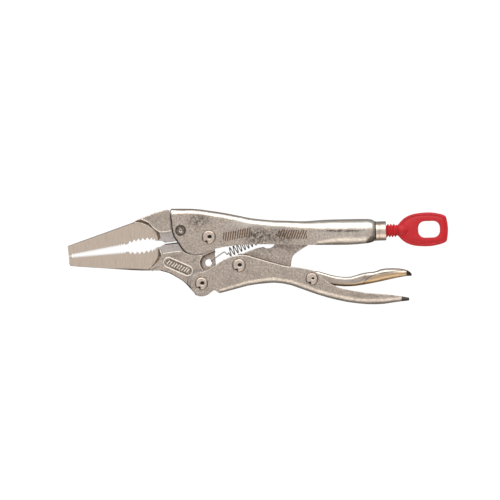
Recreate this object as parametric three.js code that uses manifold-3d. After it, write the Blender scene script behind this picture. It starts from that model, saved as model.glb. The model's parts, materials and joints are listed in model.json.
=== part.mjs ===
// Long-nose locking pliers, locked with the jaws closed, lying on one side.
// Millimetres, +Z up. +X runs from the jaws to the thumb key, +Y from the lower handle to the upper one.
// Every piece is drawn as a side view, [x, y], with z = 0 in the middle of the tool's thickness.
// The finished group is then lifted so that the rivet heads rest on z = 0.

import * as THREE from "three";
import { mergeVertices } from "three/addons/utils/BufferGeometryUtils.js";
import Module from "manifold-3d";

const wasm = await Module();
wasm.setup();

// Pivots, in the side view.
const MAIN_PIVOT = [-29.2, 11.5]; // upper handle to movable jaw
const JAW_HANDLE_PIVOT = [-33.6, -16.3]; // movable jaw to lower handle
const LINK_PIVOT = [-11.1, -5.4]; // lower handle to toggle link
const LEVER_PIVOT = [32.6, -13.5]; // lower handle to release lever
const LINK_END = [28, 13.5]; // where the toggle link bears on the screw
const JAW_PIN = [-46.1, 15.5]; // pin that fixes the upper jaw in its handle
const SPRING_HOLE = [-29.3, -3.8]; // hole for the spring's hook in the movable jaw's tab

// The adjusting screw's own axis leans up a little towards the key.
const SCREW_ORIGIN = [74, 15.2]; // middle of the nut
const SCREW_TILT = THREE.MathUtils.degToRad(2);

// Thickness, all as half widths from the middle plane.
const CHEEK_IN = 5.2; // inner face of both handles' walls
const WALL = 1.9; // sheet thickness of both handles
const CHEEK_OUT = CHEEK_IN + WALL;
const TUBE_OUT = 7.5; // the rolled rear of the upper handle
const RIVET_TOP = 8.3;
const NECK_HALF = 4.9; // jaw necks, which run between the handle walls
const FIXED_SHOULDER_HALF = 6.6;
const MOVABLE_BODY_HALF = 6.2;
const NOSE_TIP_HALF = 3.1;
const NOSE_ROOT_HALF = 4.6;
const LINK_HALF = 2.5;
const TAB_HALF = 1.6;

const PIN_CLEARANCE = 0.2; // radial, round every pin that something turns on
const FACE_GAP = 0.08; // between a rivet's head and the wall under it
const FAR = 60; // long enough for a cutting block to pass through any piece

// Jaws.
const FIXED_TIP_X = -113.9;
const NOSE_ROOT_X = -60;
const FINE_TEETH = 21;
const FINE_DEPTH = 1.35;
const COARSE_TEETH = 7;
const COARSE_DEPTH = 1.7;
const SEAT_RADIUS = 8; // the fixed jaw's tail is hollowed round the movable jaw's ear
const EAR_RADIUS = 7.5;
const BOSS_RADIUS = 7.8; // round the jaw-handle pivot
const SPRING_HOLE_RADIUS = 2.1;
const BADGE = { centre: [-47.6, -6.2], half: 6.2, radius: 2.8, turn: -23.6, depth: 0.4 };

// Handles.
const OPEN_BELOW = -6; // a channel's cavity runs down to here where the channel has no floor
const LIPS_FROM = 36; // where the upper handle's edges turn in and close it to a tube
const SEAM_HALF = 0.6; // half width of the joint left between those edges
const WEB_FROM = -22.8; // the lower handle has no floor ahead of this
const NOTCH_X = -22.5; // front edge of the lower handle's floor in the side view
const LEVER_WALL = 1.4;
const LEVER_SLOT_HALF = 1.8;

// Rivets and pin.
const MAIN_PIN_RADIUS = 3;
const HANDLE_PIN_RADIUS = 2.8;
const LINK_PIN_RADIUS = 2.8;
const LEVER_PIN_RADIUS = 2.3;
const JAW_PIN_RADIUS = 2.6;
const MAIN_HEAD_RADIUS = 4.15;
const HANDLE_HEAD_RADIUS = 3.9;
const LINK_HEAD_RADIUS = 4.05;
const LEVER_HEAD_RADIUS = 3.8;
const DIMPLE_RADIUS = 1.2;
const DIMPLE_DEPTH = 0.8;

// Screw, nut and key, measured along their own axis from the middle of the nut.
const SHANK_RADIUS = 3.6;
const SHANK_TIP = -39.2;
const SHANK_END = 9.7;
const NUT_BORE = 3.95;
const NUT_RADIUS = 5.8;
const NUT_HALF = 3.2;
const SPIGOT_RADIUS = 4.85;
const SPIGOT_LENGTH = 6.5;
const KEY_START = 10;
const KEY_HALF = 2.6;
const KEY_SLOT = { start: 22.4, end: 35.5, half: 4.95, corner: 4 };

// Spring.
const SPRING_START = [-17.4, 2.2];
const SPRING_TURN = 23.5; // degrees from +X
const SPRING_LENGTH = 26;
const COIL_RADIUS = 2.9;
const WIRE_RADIUS = 0.45;

// Whole-tool box in the side view, so that the origin sits under its middle.
const BOX_CENTRE = [0.2127, -0.1347];

// ---------------------------------------------------------------- solids

// A closed three.js geometry as a manifold solid.
function solidOf(geometry) {
  const bare = geometry.index ? geometry.toNonIndexed() : geometry.clone();
  bare.deleteAttribute("normal");
  bare.deleteAttribute("uv");
  const merged = mergeVertices(bare, 1e-4);
  return new wasm.Manifold(
    new wasm.Mesh({
      numProp: 3,
      vertProperties: merged.attributes.position.array,
      triVerts: new Uint32Array(merged.index.array),
    }),
  );
}

// A manifold solid as a three.js geometry.
function geometryOf(solid) {
  const mesh = solid.getMesh();
  const geometry = new THREE.BufferGeometry();
  geometry.setAttribute("position", new THREE.BufferAttribute(mesh.vertProperties, 3));
  geometry.setIndex(new THREE.BufferAttribute(mesh.triVerts, 1));
  geometry.computeVertexNormals();
  return geometry;
}

function arc([cx, cy], radius, fromDegrees, toDegrees, steps) {
  const points = [];
  for (let i = 0; i <= steps; i++) {
    const angle = THREE.MathUtils.degToRad(fromDegrees + ((toDegrees - fromDegrees) * i) / steps);
    points.push([cx + radius * Math.cos(angle), cy + radius * Math.sin(angle)]);
  }
  return points;
}

const circle = (centre, radius, steps = 20) => arc(centre, radius, 0, 360 - 360 / steps, steps - 1);

// A smooth line through a few points.
function spline(points, steps) {
  const curve = new THREE.SplineCurve(points.map(([x, y]) => new THREE.Vector2(x, y)));
  return curve.getPoints(steps).map((p) => [p.x, p.y]);
}

// A smooth height y(x) through a few points.
function heightThrough(knots) {
  const slope = (a, b) => (b[1] - a[1]) / (b[0] - a[0]);
  const slopes = knots.map((knot, i) => {
    const before = knots[Math.max(i - 1, 0)];
    const after = knots[Math.min(i + 1, knots.length - 1)];
    return slope(before, after);
  });
  return (x) => {
    let i = 0;
    while (i < knots.length - 2 && x > knots[i + 1][0]) i++;
    const [[x0, y0], [x1, y1]] = [knots[i], knots[i + 1]];
    const span = x1 - x0;
    const t = THREE.MathUtils.clamp((x - x0) / span, 0, 1);
    const u = 1 - t;
    const ends = y0 * u * u * (1 + 2 * t) + y1 * t * t * (3 - 2 * t);
    return ends + span * t * u * (slopes[i] * u - slopes[i + 1] * t);
  };
}

// Straight from value to value over the given places.
function levels(knots) {
  return (x) => {
    let i = 0;
    while (i < knots.length - 2 && x > knots[i + 1][0]) i++;
    const t = THREE.MathUtils.clamp((x - knots[i][0]) / (knots[i + 1][0] - knots[i][0]), 0, 1);
    return THREE.MathUtils.lerp(knots[i][1], knots[i + 1][1], t);
  };
}

// A side-view outline as a plate from zLow to zHigh.
function prism(outline, zLow, zHigh, holes = []) {
  const toVectors = (points) => points.map(([x, y]) => new THREE.Vector2(x, y));
  const shape = new THREE.Shape(toVectors(outline));
  for (const hole of holes) shape.holes.push(new THREE.Path(toVectors(hole)));
  const geometry = new THREE.ExtrudeGeometry(shape, { depth: zHigh - zLow, bevelEnabled: false });
  return solidOf(geometry.translate(0, 0, zLow));
}

const plate = (outline, half, holes) => prism(outline, -half, half, holes);
const through = (outline) => plate(outline, FAR);

// A plan-view outline, [x, z], standing from yLow to yHigh.
function planPrism(outline, yLow, yHigh) {
  const shape = new THREE.Shape(outline.map(([x, z]) => new THREE.Vector2(x, z)));
  const geometry = new THREE.ExtrudeGeometry(shape, { depth: yHigh - yLow, bevelEnabled: false });
  return solidOf(geometry.rotateX(Math.PI / 2).translate(0, yHigh, 0));
}

// A cross-section, [y, z], with round corners above and below.
const CORNER_STEPS = 4;
function section({ top, bottom, half, topRadius, bottomRadius }) {
  const corner = (y, z, radius, from) =>
    arc([y, z], radius, from, from + 90, CORNER_STEPS);
  return [
    ...corner(top - topRadius, half - topRadius, topRadius, 0),
    ...corner(bottom + bottomRadius, half - bottomRadius, bottomRadius, 90),
    ...corner(bottom + bottomRadius, bottomRadius - half, bottomRadius, 180),
    ...corner(top - topRadius, topRadius - half, topRadius, 270),
  ];
}

// A body whose cross-section changes along x.
function loft(stations, sizesAt) {
  const rings = stations.map((x) => section(sizesAt(x)).map(([y, z]) => [x, y, z]));
  const count = rings[0].length;
  const last = (rings.length - 1) * count;
  const faces = [];
  for (let ring = 0; ring < last; ring += count) {
    for (let k = 0; k < count; k++) {
      const here = ring + k;
      const next = ring + ((k + 1) % count);
      faces.push(here, next, here + count, next, next + count, here + count);
    }
  }
  for (let k = 1; k + 1 < count; k++) {
    faces.push(0, k + 1, k, last, last + k, last + k + 1);
  }
  const geometry = new THREE.BufferGeometry();
  geometry.setAttribute("position", new THREE.Float32BufferAttribute(rings.flat(2), 3));
  geometry.setIndex(faces);
  return solidOf(geometry);
}

// The same section pulled in by the sheet's thickness.
function inset(sizes, wall) {
  return {
    top: sizes.top - wall,
    bottom: sizes.bottom + wall,
    half: sizes.half - wall,
    topRadius: Math.max(sizes.topRadius - wall, 0.2),
    bottomRadius: Math.max(sizes.bottomRadius - wall, 0.2),
  };
}

// A turned piece along x, from [along, radius] points that start and end on the axis.
function turned(profile, steps = 20) {
  const points = profile.map(([along, radius]) => new THREE.Vector2(radius, along));
  return solidOf(new THREE.LatheGeometry(points, steps).rotateZ(-Math.PI / 2));
}

// ---------------------------------------------------------------- jaws

// A row of teeth along a line of tips, with each root half way between two tips.
function teeth(tips, rise) {
  const points = [];
  tips.forEach(([x, y], i) => {
    if (i > 0) {
      const [px, py] = tips[i - 1];
      points.push([(x + px) / 2, (y + py) / 2 + rise]);
    }
    points.push([x, y]);
  });
  return points;
}

// Even steps along a straight line.
function evenSteps([x0, y0], [x1, y1], count) {
  return Array.from({ length: count + 1 }, (_, i) => {
    const t = i / count;
    return [x0 + (x1 - x0) * t, y0 + (y1 - y0) * t];
  });
}

// Everything outside the two ground side faces, which narrow towards the nose's tip.
function groundAway(region) {
  const slope = (NOSE_ROOT_HALF - NOSE_TIP_HALF) / (NOSE_ROOT_X - FIXED_TIP_X);
  const halfAt = (x) => NOSE_TIP_HALF + slope * (x - FIXED_TIP_X);
  const past = 10; // the wedge runs on past both ends of the nose
  const [left, right] = [FIXED_TIP_X - past, NOSE_ROOT_X + past];
  const kept = planPrism(
    [
      [left, -halfAt(left)],
      [right, -halfAt(right)],
      [right, halfAt(right)],
      [left, halfAt(left)],
    ],
    -FAR,
    FAR,
  );
  return through(region).subtract(kept);
}

function fixedJaw() {
  const outline = [
    [-113.2, 0.2],
    [FIXED_TIP_X, 6.1],
    [-75, 20.1],
    ...spline([[-71.2, 22.1], [-67, 23.9], [-62, 25.9], [-56.8, 27.5], [-54.2, 28]], 8),
    [-52.9, 27.8],
    [-52.45, 25.5],
    [-38, 25],
    ...arc(MAIN_PIVOT, SEAT_RADIUS, 118, 188, 7),
    [-47.5, 9.2],
    [-55.6, 8.2],
    [-57.5, 9.2],
    ...teeth(
      spline([[-61.3, 9.3], [-64.1, 9.75], [-68.9, 9.45], [-73.4, 8.7], [-77.7, 7.4]], COARSE_TEETH),
      COARSE_DEPTH,
    ),
    ...teeth(evenSteps([-79.2, 6.8], [-111.5, 0.5], FINE_TEETH), FINE_DEPTH),
  ];
  const ground = [
    [-120, -20],
    [-59.7, -20],
    [-59.7, 9.8],
    ...spline([[-60.2, 12.4], [-62, 16], [-66, 18.9], [-70, 20.4], [-73.5, 20.9]], 8),
    [-80, 40],
    [-120, 40],
  ];
  const shoulder = [
    ...spline([[-70.6, 22.4], [-65.4, 20.2], [-61.7, 16.2], [-58, 14.3]], 8),
    [-51.9, 15.3],
    [-52.4, 21.3],
    [-52.5, 25],
    [-52.5, 40],
    [-70.6, 40],
  ];
  const pinHole = circle(JAW_PIN, JAW_PIN_RADIUS + PIN_CLEARANCE);
  return plate(outline, NECK_HALF, [pinHole])
    .subtract(groundAway(ground))
    .add(plate(outline, FIXED_SHOULDER_HALF).intersect(through(shoulder)));
}

// A blank oval pocket in each side of the movable jaw.
function badgePocket() {
  const { half, radius, turn, depth } = BADGE;
  const oval = [
    ...arc([half, 0], radius, -90, 90, 8),
    ...arc([-half, 0], radius, 90, 270, 8),
  ];
  const pocket = plate(oval, FAR)
    .subtract(plate(circle([0, 0], half + 2 * radius), MOVABLE_BODY_HALF - depth));
  return pocket.rotate([0, 0, turn]).translate([...BADGE.centre, 0]);
}

function movableJaw() {
  const [ax, ay] = JAW_HANDLE_PIVOT;
  const outline = [
    [-113.2, 0],
    [-112.8, -4.5],
    [-111.9, -5.8],
    ...spline([[-106, -6.3], [-90, -7.3], [-72, -8.5], [-58, -8.65], [-52.6, -10.3], [-45, -14.6]], 14),
    ...spline([[-42.5, -16.9], [-40, -19.7], [-37.6, -22.4]], 3),
    ...arc([ax, ay], BOSS_RADIUS, 240, 360, 10),
    [-25, -5.2],
    [-25.6, 1.5],
    ...arc(MAIN_PIVOT, EAR_RADIUS, -60, 195, 17),
    [-47.5, 8.4],
    [-55.3, 7.5],
    [-56.5, 6.8],
    [-58.2, 5.8],
    ...teeth(
      spline([[-61, 5], [-63.3, 4.3], [-68, 3.2], [-72.7, 2.75], [-77.3, 2.85]], COARSE_TEETH),
      -COARSE_DEPTH,
    ),
    ...teeth(evenSteps([-78.9, 2.75], [-111.5, -0.1], FINE_TEETH), -FINE_DEPTH),
  ];
  const ground = [
    [-120, -30],
    [-67.5, -30],
    ...spline([[-65.6, -8], [-63.4, -6.1], [-60.7, -2.3], [-59.8, 0.6], [-59.7, 6]], 8),
    [-59.7, 20],
    [-120, 20],
  ];
  const body = [
    [-65.5, -30],
    ...spline([[-65, -8.4], [-59.9, -3.5], [-58.5, -0.9], [-57, 1.6]], 6),
    ...spline([[-53.9, 2.3], [-48.1, 3.1], [-45.6, 3.3], [-43, 2.1]], 5),
    ...spline([[-40, 1], [-36, 0.5], [-32.8, 1]], 4),
    ...arc([-28.8, -3.8], 5.75, 135, 226, 6),
    ...arc([ax, ay], 8.3, 86, 206, 9),
    [-48, -30],
  ];
  const tabRecess = [
    [-15, 3.4],
    [-25.3, 3.4],
    ...arc([-28.8, -3.8], 5.6, 118, 246, 9),
    [-27, -9.8],
    [-15, -9.8],
  ];
  const recess = through(tabRecess).subtract(plate(tabRecess, TAB_HALF));
  const holes = [
    circle(MAIN_PIVOT, MAIN_PIN_RADIUS + PIN_CLEARANCE),
    circle(JAW_HANDLE_PIVOT, HANDLE_PIN_RADIUS + PIN_CLEARANCE),
    circle(SPRING_HOLE, SPRING_HOLE_RADIUS, 16),
  ];
  return plate(outline, NECK_HALF, holes)
    .subtract(groundAway(ground))
    .subtract(recess)
    .add(plate(outline, MOVABLE_BODY_HALF).intersect(through(body)))
    .subtract(badgePocket());
}

// ---------------------------------------------------------------- handles

const upperTop = heightThrough([
  [-53, 28.5], [-40, 28.5], [-35, 28.2], [-30, 27.5], [-20, 26], [-10, 24.05], [-5, 23], [0, 22.35],
  [10, 21.5], [16, 21.4], [25, 21], [30, 21.1], [40, 21.9], [55, 22.3], [66, 22.4], [69, 21.9],
  [70.5, 20.8],
]);
const upperBottom = heightThrough([
  [30, 6.8], [36, 6.8], [55, 6.9], [62, 7.4], [67, 8], [69, 8.6], [70.5, 9.4],
]);

function upperSizes(x) {
  const openEdge = levels([[30, 0], [LIPS_FROM, upperBottom(LIPS_FROM)]]);
  return {
    top: upperTop(x),
    bottom: x < LIPS_FROM ? openEdge(x) : upperBottom(x),
    half: levels([[34, CHEEK_OUT], [52, TUBE_OUT], [66, TUBE_OUT], [69, 7], [70.5, 6.2]])(x),
    topRadius: levels([[-50, 3.4], [10, 3.9], [30, 5], [45, 6.6], [70.5, 6]])(x),
    bottomRadius: levels([[32, 0.2], [LIPS_FROM, 3.2], [48, 6.4], [70.5, 5.6]])(x),
  };
}

function upperHandle() {
  const stations = [
    -53, -46, -40, -35, -30, -25, -20, -15, -10, -5, 0, 5, 10, 17, 25, 30, 34, 36, 40, 44, 48, 54, 60, 66,
    68, 69, 69.9, 70.5,
  ];
  const silhouette = [
    [-51.8, 40],
    [-51.9, 25],
    ...spline([[-51.4, 21.3], [-51, 17.6], [-50.4, 14.1], [-48.1, 10], [-45.2, 5.5]], 8),
    ...spline([[-42.5, 3], [-40, 1.9], [-37.5, 1.4], [-35, 1.5], [-32, 2.3]], 8),
    ...spline([[-25, 4.6], [-20, 5.6], [-10, 6.8], [0, 7.25]], 6),
    [12, 7.15],
    [30, 6.8],
    [LIPS_FROM, 6.8],
    [LIPS_FROM, -5],
    [90, -5],
    [90, 40],
  ];
  const boreFrom = 68; // the rear opening keeps one size from here on
  const cavity = loft([-60, ...stations.slice(0, -1), 75], (x) => {
    const sizes = inset(upperSizes(Math.min(x, boreFrom)), WALL);
    const bottom = x < LIPS_FROM ? OPEN_BELOW : sizes.bottom;
    return { ...sizes, bottom, half: Math.max(sizes.half, CHEEK_IN) };
  });
  const seam = planPrism(
    [[LIPS_FROM - 2, -SEAM_HALF], [75, -SEAM_HALF], [75, SEAM_HALF], [LIPS_FROM - 2, SEAM_HALF]],
    -FAR,
    12,
  );
  const holes = [
    circle(MAIN_PIVOT, MAIN_PIN_RADIUS + PIN_CLEARANCE),
    circle(JAW_PIN, JAW_PIN_RADIUS + PIN_CLEARANCE),
  ];
  return loft(stations, upperSizes)
    .intersect(through(silhouette))
    .subtract(cavity)
    .subtract(seam)
    .subtract(through(holes[0]))
    .subtract(through(holes[1]));
}

const lowerBottom = heightThrough([
  [WEB_FROM, -22.2], [-15, -20.15], [-5.6, -17.6], [2.8, -16.4], [11.2, -15.9], [19.6, -17.2],
  [25.5, -19.2], [35, -22.6], [45, -25.5], [55, -27.6], [65, -28.7], [70, -28.8], [75, -28.65],
  [84, -27.3], [91, -26.5],
]);

function lowerSizes(x) {
  const front = x < WEB_FROM;
  return {
    top: 12,
    bottom: front ? -32 : lowerBottom(x),
    half: levels([[80, CHEEK_OUT], [91, 6.2]])(x),
    topRadius: 0.2,
    bottomRadius: front ? 0.2 : levels([[WEB_FROM, 3.4], [0, 4.6], [80, 4.6], [91, 3.4]])(x),
  };
}

function lowerHandle() {
  const [ax, ay] = JAW_HANDLE_PIVOT;
  const stations = [
    -45, WEB_FROM - 0.4, WEB_FROM, -18, -12, -6, 0, 5, 10, 15, 20, 25, 30, 36, 42, 48, 54, 60, 66,
    71, 76, 81, 86, 91,
  ];
  const silhouette = [
    ...spline([[-32.7, -9.6], [-30, -8.3], [-25, -5.3], [-20, -1.9], [-13.4, 0.4], [-7.6, 0.75]], 12),
    ...spline([[0, -1.3], [5, -2.8], [15, -5.45], [25.5, -6.9]], 6),
    ...spline([[32, -8.1], [35, -9.4], [40, -13.9], [45, -17.1]], 8),
    ...spline([[50, -19.2], [65, -21.9], [80, -23.1], [91, -24.8]], 6),
    [95, -24.9],
    [95, -45],
    [NOTCH_X, -45],
    [NOTCH_X, -22.1],
    [-23.5, -21.8],
    ...spline([[-25.5, -20.4], [-26.5, -20.6], [-27.8, -21.7]], 3),
    ...arc([ax, ay], 6.8, 300, 98, 16),
  ];
  const cavity = loft([-60, ...stations.slice(1, -1), 100], (x) => {
    const sizes = inset(lowerSizes(THREE.MathUtils.clamp(x, -45, 91)), WALL);
    return { ...sizes, top: 20, bottom: x < WEB_FROM ? -40 : sizes.bottom, half: sizes.half };
  });
  const pins = [
    [JAW_HANDLE_PIVOT, HANDLE_PIN_RADIUS],
    [LINK_PIVOT, LINK_PIN_RADIUS],
    [LEVER_PIVOT, LEVER_PIN_RADIUS],
  ];
  let handle = loft(stations, lowerSizes).intersect(through(silhouette)).subtract(cavity);
  for (const [centre, radius] of pins) {
    handle = handle.subtract(through(circle(centre, radius + PIN_CLEARANCE)));
  }
  return handle;
}

// ---------------------------------------------------------------- toggle link and release lever

function toggleLink() {
  const outline = [
    ...arc(LINK_PIVOT, 5.6, 270, 90, 12),
    ...spline([[-9.4, 1], [-7, 2.5], [-2.4, 4.05], [0, 4.9], [3, 5.5]], 6),
    ...arc([6.3, 9.2], 4.5, 232, 352, 8),
    [13.5, 12],
    [19, 15.6],
    ...arc(LINK_END, 3.5, 115, -10, 10),
    [30, 6.4],
    ...spline([[27.7, 5.05], [23.6, 2.35], [21, -0.25], [20.2, -3.9], [20, -6.2]], 8),
    [18.4, -8],
  ];
  return plate(outline, LINK_HALF, [circle(LINK_PIVOT, LINK_PIN_RADIUS + PIN_CLEARANCE)]);
}

const leverTop = heightThrough([
  [18, -11.4], [22, -11.1], [27, -10.3], [31, -9.2], [35, -8.75], [40, -10], [45, -11.45], [50, -12.3],
  [54, -12.5], [57.2, -12], [60, -11], [63, -10.2], [66, -9.6], [71, -9.1], [73.5, -7.9], [78.4, -7.2],
  [84.8, -7.3], [87.7, -7.75], [90.1, -8.5], [91.9, -9.7], [92.5, -10.6],
]);
const leverBottom = heightThrough([
  [18, -14.1], [24, -15.4], [33, -17], [45, -17.4], [52, -18.1], [60, -17.65], [64.6, -16.9],
  [72.7, -15.3], [80.7, -13.5], [88.8, -11.9], [92.5, -11.7],
]);

function leverSizes(x) {
  const [top, bottom] = [leverTop(x), leverBottom(x)];
  const most = (top - bottom) / 2 - 0.05;
  return {
    top,
    bottom,
    half: levels([[62, 4.7], [67, 6.6], [72, 7], [86, 7], [90, 6], [92.5, 3.8]])(x),
    topRadius: Math.min(levels([[40, 1.6], [66, 2], [74, 2.6]])(x), most),
    bottomRadius: Math.min(levels([[42, 2], [60, 2.6], [68, 4.2]])(x), most),
  };
}

function releaseLever() {
  const stations = [
    18, 22, 26, 30, 33, 36, 40, 44, 48, 52, 56, 59, 62, 64.5, 67, 69.5, 72, 74, 77, 81, 85, 88, 90,
    91.4, 92.5,
  ];
  const [cavityStart, cavityEnd] = [22, 86];
  const within = stations.filter((x) => x > cavityStart && x < cavityEnd);
  const cavity = loft([cavityStart, ...within, cavityEnd], (x) => inset(leverSizes(x), LEVER_WALL));
  const slot = planPrism(
    [[16, -LEVER_SLOT_HALF], [85, -LEVER_SLOT_HALF], [85, LEVER_SLOT_HALF], [16, LEVER_SLOT_HALF]],
    -FAR,
    -13,
  );
  return loft(stations, leverSizes)
    .subtract(cavity)
    .subtract(slot)
    .subtract(through(circle(LEVER_PIVOT, LEVER_PIN_RADIUS + PIN_CLEARANCE)));
}

// ---------------------------------------------------------------- rivets and pin

// A rivet across the whole tool, with a low domed head and a small dimple on each side.
function rivet(centre, pinRadius, headRadius) {
  const seat = CHEEK_OUT + FACE_GAP;
  const half = [
    [RIVET_TOP - DIMPLE_DEPTH, 0],
    [RIVET_TOP, DIMPLE_RADIUS],
    [RIVET_TOP, headRadius - 0.8],
    [RIVET_TOP - 0.35, headRadius - 0.2],
    [RIVET_TOP - 0.75, headRadius],
    [seat, headRadius],
    [seat, pinRadius],
  ];
  const mirrored = half.map(([along, radius]) => [-along, radius]);
  return turned([...mirrored, ...half.toReversed()])
    .rotate([0, -90, 0])
    .translate([...centre, 0]);
}

// A plain pin, flush with both cheeks, with a countersunk dimple in each end.
function jawPin() {
  const end = CHEEK_OUT - 0.05;
  const profile = [
    [-end + DIMPLE_DEPTH, 0],
    [-end, DIMPLE_RADIUS + 0.4],
    [-end, JAW_PIN_RADIUS],
    [end, JAW_PIN_RADIUS],
    [end, DIMPLE_RADIUS + 0.4],
    [end - DIMPLE_DEPTH, 0],
  ];
  return turned(profile).rotate([0, -90, 0]).translate([...JAW_PIN, 0]);
}

// ---------------------------------------------------------------- screw, nut and key

function screwNut() {
  const spigotEnd = -NUT_HALF - SPIGOT_LENGTH;
  const profile = [
    [spigotEnd, NUT_BORE],
    [spigotEnd, SPIGOT_RADIUS],
    [-NUT_HALF, SPIGOT_RADIUS],
    [-NUT_HALF, NUT_RADIUS - 0.6],
    [-NUT_HALF + 0.6, NUT_RADIUS],
    [NUT_HALF - 0.8, NUT_RADIUS],
    [NUT_HALF, NUT_RADIUS - 0.8],
    [NUT_HALF, NUT_BORE],
    [spigotEnd, NUT_BORE],
  ];
  return turned(profile, 32);
}

function adjustingScrew() {
  return turned([
    [SHANK_TIP, 0],
    [SHANK_TIP, 2.2],
    [SHANK_TIP + 1.2, SHANK_RADIUS],
    [SHANK_END, SHANK_RADIUS],
    [SHANK_END, 0],
  ]);
}

function thumbKey() {
  const side = spline(
    [
      [10.4, 3.2], [11.3, 4.5], [12.4, 5.6], [13.8, 6.9], [16, 8.2], [18.9, 9.3], [22.5, 9.9], [27, 10.2],
      [30, 10.1], [33, 9.7],
      [36, 9], [38.5, 8.1], [39.5, 6.9],
    ],
    16,
  );
  const edge = [...side, [40.1, 3.4], [40.35, 0]];
  const otherEdge = edge.slice(0, -1).toReversed().map(([along, across]) => [along, -across]);
  const { start, end, half, corner } = KEY_SLOT;
  const slot = [
    ...arc([end - corner, half - corner], corner, 0, 90, 5),
    ...arc([start + corner, half - corner], corner, 90, 180, 5),
    ...arc([start + corner, corner - half], corner, 180, 270, 5),
    ...arc([end - corner, corner - half], corner, 270, 360, 5),
  ];
  const neck = turned([
    [KEY_START, 0],
    [KEY_START, 3.4],
    [11.4, 4.2],
    [13.8, 4],
    [17, 2.6],
    [17, 0],
  ]);
  return plate([...edge, ...otherEdge], KEY_HALF, [slot]).add(neck);
}

// ---------------------------------------------------------------- spring

// A round wire along a few points.
function wire(points) {
  const path = new THREE.CatmullRomCurve3(points.map((p) => new THREE.Vector3(...p)));
  const ring = new THREE.Shape(circle([0, 0], WIRE_RADIUS, 8).map(([x, y]) => new THREE.Vector2(x, y)));
  return solidOf(new THREE.ExtrudeGeometry(ring, { steps: 14, extrudePath: path }));
}

// The coil as one hollow sleeve, with a hook at each end.
function tensionSpring() {
  const bore = COIL_RADIUS - 2 * WIRE_RADIUS;
  const coil = turned(
    [
      [0, bore],
      [0, COIL_RADIUS],
      [SPRING_LENGTH, COIL_RADIUS],
      [SPRING_LENGTH, bore],
      [0, bore],
    ],
    16,
  ).rotate([0, 0, SPRING_TURN]).translate([...SPRING_START, 0]);
  const [hx, hy] = SPRING_HOLE;
  const away = TAB_HALF + WIRE_RADIUS + 0.3;
  const middle = COIL_RADIUS - WIRE_RADIUS;
  const hook = wire([
    [hx + 1, hy + 0.8, -away],
    [hx + 0.9, hy + 0.7, 0],
    [hx + 1.2, hy + 1, away],
    [-22, 1.1, away],
    [-18.6, 2.4, middle],
    [-16, 3.2, middle],
  ]);
  const [[farX, farY]] = arc(SPRING_START, SPRING_LENGTH, SPRING_TURN, SPRING_TURN, 1);
  const tail = wire([
    [farX - 1, farY - 0.4, middle],
    [farX + 1, farY + 0.6, middle],
    [farX + 2.6, farY + 1.6, 1],
    [farX + 2.6, farY + 1.8, -1],
  ]);
  return coil.add(hook).add(tail);
}

// ---------------------------------------------------------------- assembly

const SATIN_NICKEL = { color: 0xb2a59b, roughness: 0.42, metalness: 0.9 };
const GROUND_STEEL = { color: 0xb9aa9c, roughness: 0.38, metalness: 0.9 };
const BRIGHT_STEEL = { color: 0xd7cbc0, roughness: 0.3, metalness: 0.9 };
const RED_COAT = { color: 0xc23038, roughness: 0.5, metalness: 0 };

function mesh(name, solid, finish) {
  const piece = new THREE.Mesh(geometryOf(solid), new THREE.MeshStandardMaterial(finish));
  piece.name = name;
  return piece;
}

const pliers = new THREE.Group();
pliers.position.set(-BOX_CENTRE[0], -BOX_CENTRE[1], RIVET_TOP);

pliers.add(
  mesh("upper_handle", upperHandle(), SATIN_NICKEL),
  mesh("fixed_jaw", fixedJaw(), GROUND_STEEL),
  mesh("fixed_jaw_pin", jawPin(), BRIGHT_STEEL),
  mesh("main_pivot_rivet", rivet(MAIN_PIVOT, MAIN_PIN_RADIUS, MAIN_HEAD_RADIUS), BRIGHT_STEEL),
  mesh("movable_jaw", movableJaw(), GROUND_STEEL),
  mesh("lower_handle", lowerHandle(), SATIN_NICKEL),
  mesh("jaw_handle_rivet", rivet(JAW_HANDLE_PIVOT, HANDLE_PIN_RADIUS, HANDLE_HEAD_RADIUS), BRIGHT_STEEL),
  mesh("link_rivet", rivet(LINK_PIVOT, LINK_PIN_RADIUS, LINK_HEAD_RADIUS), BRIGHT_STEEL),
  mesh("lever_rivet", rivet(LEVER_PIVOT, LEVER_PIN_RADIUS, LEVER_HEAD_RADIUS), BRIGHT_STEEL),
  mesh("toggle_link", toggleLink(), SATIN_NICKEL),
  mesh("release_lever", releaseLever(), SATIN_NICKEL),
  mesh("tension_spring", tensionSpring(), BRIGHT_STEEL),
);

const screwGroup = new THREE.Group();
screwGroup.position.set(...SCREW_ORIGIN, 0);
screwGroup.rotation.z = SCREW_TILT;
screwGroup.add(
  mesh("screw_nut", screwNut(), BRIGHT_STEEL),
  mesh("adjusting_screw", adjustingScrew(), RED_COAT),
  mesh("thumb_key", thumbKey(), RED_COAT),
);
pliers.add(screwGroup);

export default pliers;
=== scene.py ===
"""Long-nose locking pliers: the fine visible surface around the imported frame, in metres."""

import json
import math

import bmesh
import bpy
from mathutils import Matrix, Vector
from mathutils.bvhtree import BVHTree


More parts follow.
